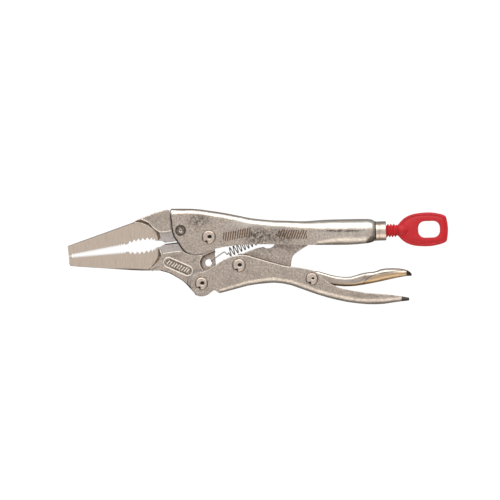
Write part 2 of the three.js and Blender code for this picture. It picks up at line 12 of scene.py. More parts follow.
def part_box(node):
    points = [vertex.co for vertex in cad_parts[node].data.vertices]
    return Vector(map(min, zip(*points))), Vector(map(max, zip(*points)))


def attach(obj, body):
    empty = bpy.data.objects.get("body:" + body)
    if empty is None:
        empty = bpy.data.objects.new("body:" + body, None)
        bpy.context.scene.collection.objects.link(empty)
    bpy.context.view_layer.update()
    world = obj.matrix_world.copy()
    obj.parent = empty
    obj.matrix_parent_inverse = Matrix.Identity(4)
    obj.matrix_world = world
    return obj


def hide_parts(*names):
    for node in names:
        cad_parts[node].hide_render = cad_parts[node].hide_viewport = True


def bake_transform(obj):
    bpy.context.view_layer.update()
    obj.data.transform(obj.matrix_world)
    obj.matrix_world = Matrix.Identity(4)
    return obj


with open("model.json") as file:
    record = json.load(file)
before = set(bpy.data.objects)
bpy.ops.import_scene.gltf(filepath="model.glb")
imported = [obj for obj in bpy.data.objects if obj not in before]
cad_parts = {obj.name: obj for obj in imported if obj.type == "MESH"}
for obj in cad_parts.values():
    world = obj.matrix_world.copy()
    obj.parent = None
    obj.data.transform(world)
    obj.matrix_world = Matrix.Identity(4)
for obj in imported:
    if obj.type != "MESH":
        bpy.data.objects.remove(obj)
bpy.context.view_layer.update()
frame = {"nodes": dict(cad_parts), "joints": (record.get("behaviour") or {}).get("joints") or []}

MM = 0.001
JOINTS = {joint["name"]: joint for joint in frame["joints"]}


def pivot(name):
    return Vector(JOINTS[name]["pos_m"])


def centre_of(node):
    low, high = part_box(node)
    return (low + high) / 2


MAIN_PIVOT = pivot("jaw_pivot")
SCREW_AXIS = Vector(JOINTS["screw_travel"]["axis"]).normalized()
NUT_CENTRE = pivot("screw_turn")
MIDDLE = MAIN_PIVOT.z  # height of the tool's middle plane


def from_main_pivot(x, y, z=0.0):
    """A place given in mm from the main pivot."""
    return MAIN_PIVOT + Vector((x, y, z)) * MM


# ---------------------------------------------------------------- materials


class Recipe:
    """A material's node tree, with a short call for each kind of node used here."""

    def __init__(self, name, colour, roughness, metallic):
        self.material = bpy.data.materials.new(name)
        self.material.use_nodes = True
        self.tree = self.material.node_tree
        self.shader = self.tree.nodes["Principled BSDF"]
        self.place = self.node("TexCoord").outputs["Object"]
        self.colour = (*colour, 1.0)
        self.roughness = roughness
        self.shader.inputs["Metallic"].default_value = metallic
        self.height = None

    def node(self, kind, **settings):
        made = self.tree.nodes.new("ShaderNode" + kind)
        for key, value in settings.items():
            setattr(made, key, value)
        return made

    def put(self, socket, value):
        if isinstance(value, bpy.types.NodeSocket):
            self.tree.links.new(value, socket)
        else:
            socket.default_value = value

    def math(self, operation, a, b=0.0, clamp=False):
        made = self.node("Math", operation=operation, use_clamp=clamp)
        self.put(made.inputs[0], a)
        self.put(made.inputs[1], b)
        return made.outputs[0]

    def mapped(self, scale=(1, 1, 1), turn=0.0, shift=(0, 0, 0)):
        made = self.node("Mapping")
        self.put(made.inputs["Vector"], self.place)
        made.inputs["Location"].default_value = shift
        made.inputs["Rotation"].default_value = (0, 0, turn)
        made.inputs["Scale"].default_value = scale
        return made.outputs[0]

    def noise(self, size_mm, detail=3.0, stretch=(1, 1, 1), rough=0.5):
        """Cloudy noise whose features are about size_mm across."""
        made = self.node("TexNoise")
        self.put(made.inputs["Vector"], self.mapped(stretch))
        made.inputs["Scale"].default_value = 1 / (size_mm * MM)
        made.inputs["Detail"].default_value = detail
        made.inputs["Roughness"].default_value = rough
        return made.outputs["Fac"]

    def range(self, value, low, high, to_low=0.0, to_high=1.0):
        made = self.node("MapRange", interpolation_type="SMOOTHSTEP")
        for socket, given in zip(made.inputs, (value, low, high, to_low, to_high)):
            self.put(socket, given)
        return made.outputs[0]

    def tint(self, factor, colour):
        """Moves the colour so far towards another one."""
        made = self.node("Mix", data_type="RGBA")
        self.put(made.inputs["Factor"], factor)
        self.put(made.inputs["A"], self.colour)
        self.put(made.inputs["B"], (*colour, 1.0))
        self.colour = made.outputs["Result"]

    def roughen(self, factor, amount):
        self.roughness = self.math("ADD", self.roughness, self.math("MULTIPLY", factor, amount))

    def raise_by(self, factor, amount_mm):
        step = self.math("MULTIPLY", factor, amount_mm)
        self.height = step if self.height is None else self.math("ADD", self.height, step)

    def spot(self, centre, radius, flatten=1.0, core=0.2):
        """1 in the middle of an oval patch seen from the side, 0 outside it."""
        shift = self.node("VectorMath", operation="SUBTRACT")
        self.put(shift.inputs[0], self.place)
        shift.inputs[1].default_value = centre
        squash = self.node("VectorMath", operation="MULTIPLY")
        self.put(squash.inputs[0], shift.outputs[0])
        squash.inputs[1].default_value = (1.0, flatten, 0.0)
        length = self.node("VectorMath", operation="LENGTH")
        self.put(length.inputs[0], squash.outputs[0])
        return self.range(length.outputs["Value"], radius, core * radius)

    def from_point(self, point):
        """How far a place lies from a point of the frame along X and Y, in mm."""
        moved = self.node("VectorMath", operation="SUBTRACT")
        self.put(moved.inputs[0], self.place)
        moved.inputs[1].default_value = point
        parts = self.node("SeparateXYZ")
        self.put(parts.inputs[0], moved.outputs[0])
        return tuple(self.math("MULTIPLY", parts.outputs[k], 1 / MM) for k in (0, 1))

    def below(self, x, y, start, slope):
        """How far a place lies under a sloping line, in mm."""
        rise = self.math("MULTIPLY", self.math("SUBTRACT", x, start[0]), slope)
        line = self.math("ADD", rise, start[1])
        return self.math("SUBTRACT", line, y)

    def facing(self, axis, low, high):
        """How far the surface faces along an axis of the frame."""
        normal = self.node("SeparateXYZ")
        self.put(normal.inputs[0], self.node("TexCoord").outputs["Normal"])
        return self.range(normal.outputs[axis], low, high)

    def finish(self):
        self.put(self.shader.inputs["Base Color"], self.colour)
        self.put(self.shader.inputs["Roughness"], self.roughness)
        if self.height is not None:
            bump = self.node("Bump")
            bump.inputs["Distance"].default_value = MM
            bump.inputs["Strength"].default_value = 1.0
            self.put(bump.inputs["Height"], self.height)
            self.put(self.shader.inputs["Normal"], bump.outputs[0])
        return self.material


NICKEL = (0.60, 0.513, 0.452)
DARK_NICKEL = (0.25, 0.215, 0.185)
PALE_NICKEL = (0.93, 0.86, 0.79)
HIGHLIGHT_NICKEL = (0.96, 0.93, 0.88)  # the pale colour of painted highlights, where a rounded sheet would catch the lamps
# the dark of painted shade along the ground noses' top and bottom edges
EDGE_SHADE_BROWN = (0.10, 0.08, 0.065)
ETCH_BROWN = (0.17, 0.095, 0.05)

# Marks on the upper handle's sides, in mm from the main pivot; the dark line along the rolled rear and the
# dark patch at its lower rear corner are painted shade.
SMUDGES = [((-6, 10), 10, 0.9), ((30, 0.5), 15, 0.95), ((44, 1), 13, 0.85)]  # place, radius, strength
SHADE_LINE_PLACE = (79, 3.8)
SHADE_LINE_RADIUS = 18
CORNER_PLACE = (97.6, -2.4)
CORNER_RADIUS = 4.2
ETCHES = [((17.0, 1.6), 9.0, 2.7, 0.2), ((50, 1.7), 9.0, 2.8, -0.02)]  # place, half sizes, turn
ETCH_EDGE = 0.25  # how softly an etched patch ends
ETCH_PITCH = 1.45
ETCH_SLANT = -0.35


def pebble(recipe, strength=1.0):
    """The orange-peel grain of barrel-plated metal, with cloudy tarnish."""
    grain = recipe.noise(0.95, detail=4.0, rough=0.65)
    fine = recipe.noise(0.38, detail=2.0)
    clouds = recipe.noise(9.0, detail=4.0)
    recipe.tint(recipe.range(grain, 0.50, 0.66, 0.0, 0.68 * strength), DARK_NICKEL)
    recipe.tint(recipe.range(grain, 0.47, 0.34, 0.0, 0.6 * strength), PALE_NICKEL)
    recipe.tint(recipe.range(clouds, 0.50, 0.68, 0.0, 0.25), DARK_NICKEL)
    recipe.roughen(recipe.range(grain, 0.3, 0.7), 0.16)
    recipe.raise_by(grain, 0.13 * strength)
    recipe.raise_by(fine, 0.03 * strength)


def plated_sheet(name, grain=1.0):
    recipe = Recipe(name, NICKEL, 0.30, 0.92)
    pebble(recipe, grain)
    # Painted highlights: faces turned up (+Y) and down (-Y) are paler, as where the lamps would gleam on the
    # rounded bends.
    for low, high, away, share in ((0.07, 0.45, 0.78, 0.6), (-0.12, -0.5, -0.85, 0.34)):
        turning = recipe.facing("Y", low, high)
        not_past = recipe.facing("Y", away + low, away - low)
        highlight_band = recipe.math("MULTIPLY", turning, not_past)
        recipe.tint(recipe.math("MULTIPLY", highlight_band, share), HIGHLIGHT_NICKEL)
    return recipe


def handle_sheet():
    """Plated sheet with two tarnish smudges and two plain hatched etch patches, with painted highlights on
    its upper front and rolled rear, and painted shade along the rear and at its folded end.
    """
    recipe = plated_sheet("plated_upper_handle")
    x, y = recipe.from_point(MAIN_PIVOT)
    # Painted highlight: the upper part of the front and the rolled rear are paler, as where the top lamp
    # would shine on them.
    crown_highlight = recipe.math("MULTIPLY", recipe.range(y, 3.8, 8.5), recipe.range(x, 6, 26))
    recipe.tint(recipe.math("MULTIPLY", crown_highlight, 0.5), HIGHLIGHT_NICKEL)
    recipe.tint(recipe.range(x, 58, 70, 0.0, 0.2), HIGHLIGHT_NICKEL)
    blot = recipe.noise(1.5, detail=5.0, rough=0.75)
    for offset, radius, share in SMUDGES:
        patch = recipe.spot(from_main_pivot(*offset), radius * MM, flatten=1.7)
        blotched = recipe.math("MULTIPLY", patch, recipe.range(blot, 0.40, 0.62))
        recipe.tint(recipe.math("MULTIPLY", blotched, share), (0.10, 0.085, 0.075))
    # Painted shade: a dark, speckled line along the middle of the rolled rear, standing in for the dark it
    # would reflect there.
    shade_line = recipe.spot(from_main_pivot(*SHADE_LINE_PLACE), SHADE_LINE_RADIUS * MM, flatten=16.0, core=0.4)
    specks = recipe.range(recipe.noise(0.8, detail=4.0, rough=0.7), 0.40, 0.56, 0.15, 1.0)
    recipe.tint(recipe.math("MULTIPLY", shade_line, specks), (0.13, 0.117, 0.105))
    # Painted shade: a dark, blotched patch at the lower rear corner, where the sheet folds in onto the nut.
    corner = recipe.spot(from_main_pivot(*CORNER_PLACE), CORNER_RADIUS * MM, flatten=1.0, core=0.5)
    fold_shade = recipe.math("MULTIPLY", corner, recipe.range(blot, 0.35, 0.5, 0.5, 0.95))
    recipe.tint(fold_shade, (0.10, 0.085, 0.07))
    for offset, half_long, half_high, turn in ETCHES:
        recipe.tint(etch_patch(recipe, offset, half_long, half_high, turn), ETCH_BROWN)
    return recipe.finish()


def etch_patch(recipe, offset, half_long, half_high, turn):
    """A rectangle of fine slanted hatching, 1 where the metal is etched."""
    middle = from_main_pivot(*offset)
    moved = recipe.node("VectorMath", operation="SUBTRACT")
    recipe.put(moved.inputs[0], recipe.place)
    moved.inputs[1].default_value = middle
    turned = recipe.node("VectorRotate", rotation_type="Z_AXIS")
    recipe.put(turned.inputs["Vector"], moved.outputs[0])
    turned.inputs["Angle"].default_value = -turn
    parts = recipe.node("SeparateXYZ")
    recipe.put(parts.inputs[0], turned.outputs[0])
    x, y, z = parts.outputs
    inside = recipe.range(recipe.math("ABSOLUTE", x), half_long * MM, (half_long - ETCH_EDGE) * MM)
    for value, half in ((y, half_high), (z, 8.2)):
        edge = recipe.range(recipe.math("ABSOLUTE", value), half * MM, (half - ETCH_EDGE) * MM)
        inside = recipe.math("MULTIPLY", inside, edge)
    slant = recipe.math("ADD", x, recipe.math("MULTIPLY", y, ETCH_SLANT))
    wave = recipe.math("SINE", recipe.math("MULTIPLY", slant, 2 * math.pi / (ETCH_PITCH * MM)))
    strokes = recipe.range(wave, -0.25, 0.25)
    worn = recipe.range(recipe.noise(0.8, detail=3.0), 0.30, 0.46, 0.6, 0.97)
    side = recipe.math("GREATER_THAN", z, 0.0)
    etched = recipe.math("MULTIPLY", inside, strokes)
    shown = recipe.math("MULTIPLY", worn, side)
    return recipe.math("MULTIPLY", etched, shown)


def lever_sheet():
    """Brighter plating, with a painted golden reflection where the lever faces down and curls under, edged
    by a dark line.
    """
    recipe = plated_sheet("plated_release_lever", grain=0.35)
    # Painted reflection: faces turned down and the band under the lever's curve take the golden tone of the
    # metal they would mirror.
    recipe.tint(recipe.facing("Y", -0.15, -0.75), (0.62, 0.44, 0.25))
    x, y = recipe.from_point(pivot("lever_pivot"))
    flare = recipe.math("POWER", 0.5, recipe.math("MULTIPLY", recipe.math("SUBTRACT", x, 31), 0.38))
    bend = recipe.math("SUBTRACT", recipe.math("MULTIPLY", x, 0.1), recipe.math("MULTIPLY", flare, 5.5))
    under = recipe.math("SUBTRACT", recipe.math("SUBTRACT", bend, 0.35), y)
    recipe.tint(recipe.range(under, 0.5, 1.1, 0.0, 0.8), (0.66, 0.47, 0.28))
    line = recipe.math("MULTIPLY", recipe.range(under, -0.55, -0.1), recipe.range(under, 0.45, 0.05))
    recipe.tint(recipe.math("MULTIPLY", line, 0.85), (0.09, 0.065, 0.05))
    return recipe.finish()


def forged_steel():
    recipe = plated_sheet("plated_forging", grain=0.8)
    scale = recipe.noise(3.0, detail=5.0, rough=0.7)
    recipe.tint(recipe.range(scale, 0.52, 0.7, 0.0, 0.35), (0.42, 0.33, 0.26))
    return recipe.finish()


def ground_steel():
    """Flat faces left by a grinding wheel: fine lines across the nose."""
    recipe = Recipe("ground_steel", (0.70, 0.595, 0.51), 0.36, 0.92)
    lines = recipe.noise(1.0, detail=5.0, stretch=(2.6, 0.14, 1.0), rough=0.7)
    fine = recipe.noise(0.5, detail=3.0, stretch=(2.4, 0.05, 1.0))
    recipe.tint(recipe.range(lines, 0.50, 0.75, 0.0, 0.55), (0.40, 0.33, 0.27))
    recipe.tint(recipe.range(lines, 0.46, 0.28, 0.0, 0.6), (0.88, 0.79, 0.70))
    x, y = recipe.from_point(MAIN_PIVOT)
    # Painted shade: dark bands along the nose's top and bottom edges, standing in for the dark those edges
    # would reflect.
    top = recipe.below(x, y, (-85.1, -5.4), 0.356)
    recipe.tint(recipe.range(top, 0.75, 0.3, 0.0, 0.8), EDGE_SHADE_BROWN)
    front = recipe.below(x, y, (-76.8, -17.8), -0.066)
    rear = recipe.below(x, y, (-42.8, -20.0), -0.01)
    bottom = recipe.math("MINIMUM", front, rear)
    recipe.tint(recipe.range(bottom, -1.35, -0.75, 0.0, 0.85), EDGE_SHADE_BROWN)
    recipe.raise_by(lines, 0.04)
    recipe.raise_by(fine, 0.015)
    recipe.roughen(lines, 0.12)
    return recipe.finish()


def smooth_forging():
    """The cooler, smoother metal of the recessed necks."""
    recipe = Recipe("smooth_forging", (0.63, 0.575, 0.56), 0.42, 0.9)
    clouds = recipe.noise(2.4, detail=5.0, rough=0.7)
    recipe.tint(recipe.range(clouds, 0.48, 0.66, 0.0, 0.6), (0.38, 0.36, 0.345))
    recipe.raise_by(clouds, 0.05)
    return recipe.finish()


def relief_groove(name, colour, worn):
    """The brown metal of a hollow, with worn spots; its darkness in the nose hollows and along dark edge
    lines is painted shade.
    """
    recipe = Recipe(name, colour, 0.5, 0.7)
    recipe.tint(recipe.range(recipe.noise(1.2, detail=4.0), 0.45, 0.65), worn)
    recipe.raise_by(recipe.noise(0.7), 0.05)
    return recipe.finish()


def painted_highlight_edge():
    """Paler metal painted as highlight along lips and edges and on the badge's raised rim and ribs, with
    darker spots.
    """
    recipe = Recipe("painted_highlight_edge", (0.95, 0.90, 0.84), 0.45, 0.6)
    worn = recipe.noise(0.9, detail=4.0, rough=0.7)
    recipe.tint(recipe.range(worn, 0.50, 0.66, 0.0, 0.7), (0.60, 0.52, 0.45))
    recipe.raise_by(worn, 0.03)
    return recipe.finish()


def rivet_steel():
    recipe = Recipe("rivet_steel", (0.75, 0.64, 0.56), 0.30, 0.92)
    spin = recipe.noise(1.6, detail=5.0, rough=0.6)
    recipe.tint(recipe.range(spin, 0.52, 0.72, 0.0, 0.4), (0.50, 0.44, 0.39))
    recipe.raise_by(recipe.noise(0.6, detail=3.0), 0.02)
    recipe.roughen(spin, 0.1)
    return recipe.finish()


def painted_shade_black():
    """Near-black painted shade: in rivets' dimples, notches and flanks, on the noses' lower sloped edges, in
    dark lines along edges and at the nut's mouth.
    """
    recipe = Recipe("painted_shade_black", (0.018, 0.018, 0.022), 0.55, 0.5)
    recipe.tint(recipe.range(recipe.noise(0.7, detail=3.0), 0.5, 0.7, 0.0, 0.4), (0.09, 0.08, 0.075))
    recipe.raise_by(recipe.noise(0.4), 0.03)
    return recipe.finish()


def sheared_steel_and_shade():
    """Bare, darkened metal where a sheet was cut off; the same dark metal is painted shade on the noses'
    upper sloped edges and in the jaw pin's countersink.
    """
    recipe = Recipe("sheared_steel_and_shade", (0.085, 0.075, 0.066), 0.38, 0.85)
    streaks = recipe.noise(0.8, detail=4.0, stretch=(1.0, 1.0, 0.3), rough=0.7)
    recipe.tint(recipe.range(streaks, 0.52, 0.70, 0.0, 0.8), (0.40, 0.36, 0.32))
    recipe.raise_by(streaks, 0.06)
    return recipe.finish()


def spring_wire():
    recipe = Recipe("spring_wire", (0.62, 0.57, 0.52), 0.26, 0.95)
    drawn = recipe.noise(0.9, detail=3.0)
    recipe.tint(recipe.range(drawn, 0.45, 0.7, 0.0, 0.5), (0.36, 0.33, 0.30))
    recipe.raise_by(drawn, 0.01)
    return recipe.finish()


def red_coating():
    recipe = Recipe("red_coating", (0.62, 0.02, 0.03), 0.42, 0.0)
    peel = recipe.noise(0.7, detail=3.0)
    clouds = recipe.noise(7.0, detail=4.0)
    recipe.tint(recipe.range(clouds, 0.42, 0.66, 0.0, 0.5), (0.54, 0.018, 0.026))
    recipe.tint(recipe.range(peel, 0.60, 0.74, 0.0, 0.35), (0.80, 0.09, 0.10))
    recipe.roughen(peel, 0.15)
    recipe.raise_by(peel, 0.045)
    recipe.shader.inputs["Specular IOR Level"].default_value = 0.36
    return recipe.finish()


PLATED_UPPER = handle_sheet()
PLATED_LOWER = plated_sheet("plated_lower_handle").finish()
PLATED_LINK = plated_sheet("plated_link", grain=1.1).finish()
PLATED_LEVER = lever_sheet()
FORGED = forged_steel()
GROUND = ground_steel()
SHADE_BROWN = relief_groove("relief_groove", (0.15, 0.105, 0.075), (0.38, 0.29, 0.22))
BADGE = relief_groove("badge_floor", (0.22, 0.175, 0.14), (0.58, 0.50, 0.43))
PIN_FACE = relief_groove("pin_face", (0.15, 0.12, 0.10), (0.36, 0.31, 0.26))
NECK = smooth_forging()
PAINTED_HIGHLIGHT = painted_highlight_edge()
RIVET = rivet_steel()
SHADE_BLACK = painted_shade_black()
SHEARED_AND_SHADE = sheared_steel_and_shade()
WIRE = spring_wire()
RED = red_coating()

# ---------------------------------------------------------------- meshes


def piece_from(name, mesh, body, materials, nodes=()):
    """A finished piece, riding on its body and standing for the CAD nodes given."""
    piece = bpy.data.objects.new(name, mesh)
    bpy.context.scene.collection.objects.link(piece)
    for material in materials:
        mesh.materials.append(material)
    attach(piece, body)
    if nodes:
        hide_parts(*nodes)
    return piece


def weigh_normals(piece):
    modifier = piece.modifiers.new("flat faces stay flat", "WEIGHTED_NORMAL")
    modifier.keep_sharp = True
    modifier.weight = 80


LEVEL_ANGLE = math.radians(0.2)  # faces that meet at less than this lie in one plane
ROUNDED_ANGLE = math.radians(38)  # outer edges sharper than this are rounded
SHARP_ANGLE = math.radians(42)  # edges sharper than this stay sharp in the shading


def refined(node, body, materials, edge_mm, segments=3, keep=None, material_of=None, cut_x=None):
    """A CAD piece with its outer edges rounded, and a material for each kind of face."""
    mesh = frame["nodes"][node].data.copy()
    mesh.materials.clear()
    build = bmesh.new()
    build.from_mesh(mesh)
    bmesh.ops.remove_doubles(build, verts=build.verts, dist=2e-6)
    if cut_x is not None:
        everything = build.verts[:] + build.edges[:] + build.faces[:]
        bmesh.ops.bisect_plane(build, geom=everything, dist=1e-5, plane_co=(cut_x, 0, 0), plane_no=(1, 0, 0))
        bmesh.ops.triangulate(build, faces=build.faces)
    level = [
        edge
        for edge in build.edges
        if edge.is_manifold and edge.calc_face_angle(0) < LEVEL_ANGLE
    ]
    bmesh.ops.beautify_fill(build, faces=build.faces, edges=level, method="ANGLE")
    build.normal_update()
    corners = [
        edge
        for edge in build.edges
        if edge.is_manifold and edge.is_convex and edge.calc_face_angle(0) > ROUNDED_ANGLE
        and (keep is None or keep(edge))
    ]
    bmesh.ops.bevel(
        build,
        geom=corners,
        offset=edge_mm * MM,
        offset_type="OFFSET",
        segments=segments,
        profile=0.5,
        affect="EDGES",
        clamp_overlap=False,
        loop_slide=True,
    )
    build.normal_update()
    for face in build.faces:
        face.smooth = True
        face.material_index = material_of(face) if material_of else 0
    for edge in build.edges:
        edge.smooth = not edge.is_manifold or edge.calc_face_angle(0) < SHARP_ANGLE
    build.to_mesh(mesh)
    build.free()
    piece = piece_from(node + "_fine", mesh, body, materials, [node])
    weigh_normals(piece)
    return piece


def rings_mesh(name, rings, closed=False, caps=True):
    """A skin over equal rings of points."""
    build = bmesh.new()
    rows = [[build.verts.new(point) for point in ring] for ring in rings]
    pairs = list(zip(rows, rows[1:]))
    if closed:
        pairs.append((rows[-1], rows[0]))
    for row, following in pairs:
        count = len(row)
        for k in range(count):
            build.faces.new((row[k], row[(k + 1) % count], following[(k + 1) % count], following[k]))
    if caps and not closed:
        build.faces.new(rows[0][::-1])
        build.faces.new(rows[-1])
    for face in build.faces:
        face.smooth = len(face.verts) == 4
    bmesh.ops.recalc_face_normals(build, faces=build.faces)
    mesh = bpy.data.meshes.new(name)
    build.to_mesh(mesh)
    build.free()
    return mesh


def turned_mesh(name, profile, place, steps=64, move=None):
    """A turned piece: profile is (along the axis, radius) in mm, place puts its axis in the frame."""
    rings = []
    for along, radius in profile:
        ring = []
        for k in range(steps):
            angle = 2 * math.pi * k / steps
            point = Vector((radius * math.cos(angle), radius * math.sin(angle), along))
            ring.append(place @ ((move(point) if move else point) * MM))
        rings.append(ring)
    return rings_mesh(name, rings)


def tube_mesh(name, points, radius, sides=10, closed=False):
    """A round wire along a path in the frame."""
    count = len(points)
    rings = []
    side = None
    for i, point in enumerate(points):
        before = points[(i - 1) % count] if closed else points[max(i - 1, 0)]
        after = points[(i + 1) % count] if closed else points[min(i + 1, count - 1)]
        along = (after - before).normalized()
        side = along.orthogonal() if side is None else side - along * side.dot(along)
        side.normalize()
        up = along.cross(side)
        ring = []
        for k in range(sides):
            angle = 2 * math.pi * k / sides
            ring.append(point + (side * math.cos(angle) + up * math.sin(angle)) * radius)
        rings.append(ring)
    return rings_mesh(name, rings, closed)


def smooth_path(points, per_span=8):
    """Catmull-Rom points through a few given ones."""
    path = []
    for i in range(len(points) - 1):
        a = points[max(i - 1, 0)]
        b, c = points[i], points[i + 1]
        d = points[min(i + 2, len(points) - 1)]
        for step in range(per_span):
            t = step / per_span
            square = (2 * a - 5 * b + 4 * c - d) * t**2
            cube = (3 * b - a - 3 * c + d) * t**3
            path.append(0.5 * (2 * b + (c - a) * t + square + cube))
    path.append(points[-1])
    return path


SCREW_PLACE = Matrix.Translation(NUT_CENTRE) @ SCREW_AXIS.to_track_quat("Z", "Y").to_matrix().to_4x4()


# ---------------------------------------------------------------- stamped and forged pieces


def make_handles():
    refined("upper_handle", "upper_handle", [PLATED_UPPER], 0.3)
    refined("toggle_link", "toggle_link", [PLATED_LINK], 0.35)
    notch = pivot("handle_pivot") + Vector((10.5, -5.6, 0)) * MM

    def clear_of_notch(edge):
        return all((vert.co - notch).xy.length > 1.2 * MM for vert in edge.verts)

    for node, material, edge_mm, sheared_mm, keep in (
        ("lower_handle", PLATED_LOWER, 0.3, 4.6, clear_of_notch),
        ("release_lever", PLATED_LEVER, 0.25, 3.2, None),
    ):
        cut_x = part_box(node)[1].x - sheared_mm * MM
        refined(node, node, [material, SHEARED_AND_SHADE], edge_mm, keep=keep, cut_x=cut_x,
                material_of=lambda face, x=cut_x: 1 if face.calc_center_median().x > x else 0)


GROUND_HALF = 4.66  # the ground faces lie inside this half width, in mm
NECK_HALF = 4.9  # the recessed necks lie at this half width
BADGE_FLOOR = 5.8  # half width at the floor of the oval pocket
TEETH_LENGTH = 58  # the rows of teeth reach this far in from the tip
NOSE_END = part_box("fixed_jaw")[0].x + 54.5 * MM  # everything ground lies towards the tip from here
NECK_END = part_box("fixed_jaw")[0].x + 67.0 * MM  # edges of the noses and necks are painted dark as shade up to here


JAW_FINISHES = [FORGED, GROUND, NECK, BADGE, SHEARED_AND_SHADE, SHADE_BLACK]
ON_FORGED, ON_GROUND, ON_NECK, ON_BADGE, ON_UPPER_EDGE, ON_LOWER_EDGE = range(len(JAW_FINISHES))


def jaw_finish(face):
    """The place in JAW_FINISHES of a face's finish, from where the face lies."""
    middle = face.calc_center_median()
    half = abs(middle.z - MIDDLE) / MM
    # Painted shade: sloped faces along the noses' and necks' edges are near-black, standing in for the dark
    # they would reflect.
    if middle.x < NECK_END and half < NECK_HALF and 0.12 < abs(face.normal.z) < 0.93:
        return ON_LOWER_EDGE if face.normal.y < -0.1 else ON_UPPER_EDGE
    if abs(face.normal.z) < 0.9:
        return ON_FORGED
    if abs(half - BADGE_FLOOR) < 0.05 and middle.x > NOSE_END:
        return ON_BADGE
    if middle.x < NOSE_END and half < GROUND_HALF:
        return ON_GROUND
    return ON_NECK if abs(half - NECK_HALF) < 0.06 else ON_FORGED


def clear_of_teeth(edge):
    """Whether an edge keeps away from the two rows of teeth, which stay crisp."""
    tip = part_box("fixed_jaw")[0].x
    for vert in edge.verts:
        inward = vert.co.x - tip
        slot_middle = 0.4 * MM + 0.125 * inward
        if inward < TEETH_LENGTH * MM and abs(vert.co.y - slot_middle) < 1.4 * MM + 0.1 * inward:
            return False
    return True


def make_jaws():
    for node, body in (("fixed_jaw", "upper_handle"), ("movable_jaw", "movable_jaw")):
        refined(node, body, JAW_FINISHES, 0.42, keep=clear_of_teeth, material_of=jaw_finish)


# Where each ground nose runs out, from the main pivot in mm, with the hollow on the left hand.
NOSE_ENDS = {
    "fixed_jaw": [(-44.1, 9.25), (-40.8, 8.9), (-36.7, 7.3), (-32.8, 4.4), (-30.9, 0.9), (-30.4, -1.7)],
    "movable_jaw": [(-30.35, -7.0), (-30.5, -11.0), (-31.5, -13.9), (-34.1, -17.6), (-36.1, -19.4)],
}


def make_hollows():
    """Concave hollows where a grinding wheel left each nose, darkened as painted shade, with a painted
    highlight along the lip.
    """
    for name, body, points, level in (
        ("fixed_nose_end", "upper_handle", NOSE_ENDS["fixed_jaw"], NECK_HALF),
        ("movable_nose_end", "movable_jaw", NOSE_ENDS["movable_jaw"], NECK_HALF),
    ):
        line = smooth_path([from_main_pivot(x, y) for x, y in points], 6)
        for side, word in ((1, "near"), (-1, "far")):
            rings, lip = [], []
            for i, point in enumerate(line):
                along = (line[min(i + 1, len(line) - 1)] - line[max(i - 1, 0)]).normalized()
                out = Vector((-along.y, along.x, 0))
                share = i / (len(line) - 1)
                wide = 1.8 * min(1.0, 5 * share, 7 * (1 - share)) + 0.12
                hollow = [(wide * t, level + 0.03 + 0.4 * t**2.2) for t in (0, 0.3, 0.6, 0.8, 1)]
                section = hollow + [(wide + 0.1, level - 0.3), (-0.05, level - 0.3)]
                rings.append([
                    point + (out * away + Vector((0, 0, side * half))) * MM for away, half in section
                ])
                if 0.08 < share < 0.9:
                    lip.append(point + (out * (wide + 0.2) + Vector((0, 0, side * (level + 0.34)))) * MM)
            mesh = rings_mesh(name, rings)
            mark_creases(mesh)
            piece_from(f"{name}_{word}", mesh, body, [SHADE_BROWN])
            mesh = tube_mesh(name + "_lip", lip, 0.34 * MM, sides=8)
            piece_from(f"{name}_lip_{word}", mesh, body, [PAINTED_HIGHLIGHT])


